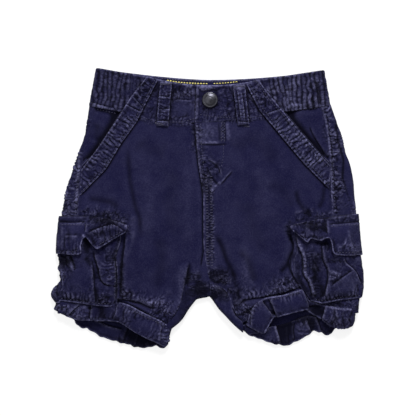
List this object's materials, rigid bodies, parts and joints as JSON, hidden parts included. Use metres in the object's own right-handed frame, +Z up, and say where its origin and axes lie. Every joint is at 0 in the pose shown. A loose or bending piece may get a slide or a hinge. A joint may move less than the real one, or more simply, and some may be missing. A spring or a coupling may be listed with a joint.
{
  "type": "toddler cargo shorts",
  "caption": "Toddler's cotton twill cargo shorts laid flat, with slant hip pockets, flapped side pockets, a snap waist and elastic gathered hems.",
  "frame": {"origin": "middle of the underside of the garment's box, on the surface it lies on", "axes": "+X towards the wearer's left, +Y towards the waistband, +Z up out of the front"},
  "size_m": [0.279, 0.2516, 0.016],
  "materials": {
    "twill": "garment-washed navy cotton twill, worn pale along seams and edges",
    "gathered_twill": "the same navy twill gathered over elastic",
    "thread": "navy cotton topstitching",
    "yellow_thread": "yellow chain stitching inside the back waistband",
    "snap_metal": "dark antiqued snap cap"
  },
  "bodies": {
    "root": {"front_right": "twill", "front_left": "twill", "back_right": "twill", "back_left": "twill", "hip_pocket_right": "twill", "hip_pocket_left": "twill", "slant_band_right": "twill", "slant_band_left": "twill", "waistband_front_right": "twill", "waistband_front_left": "twill", "waistband_back": "gathered_twill", "belt_loop_right": "twill", "belt_loop_left": "twill", "cargo_pocket_right": "twill", "cargo_pocket_left": "twill", "cargo_flap_right": "twill", "cargo_flap_left": "twill", "cuff_right": "gathered_twill", "cuff_left": "gathered_twill", "snap_cap": "snap_metal"}
  },
  "joints": []
}
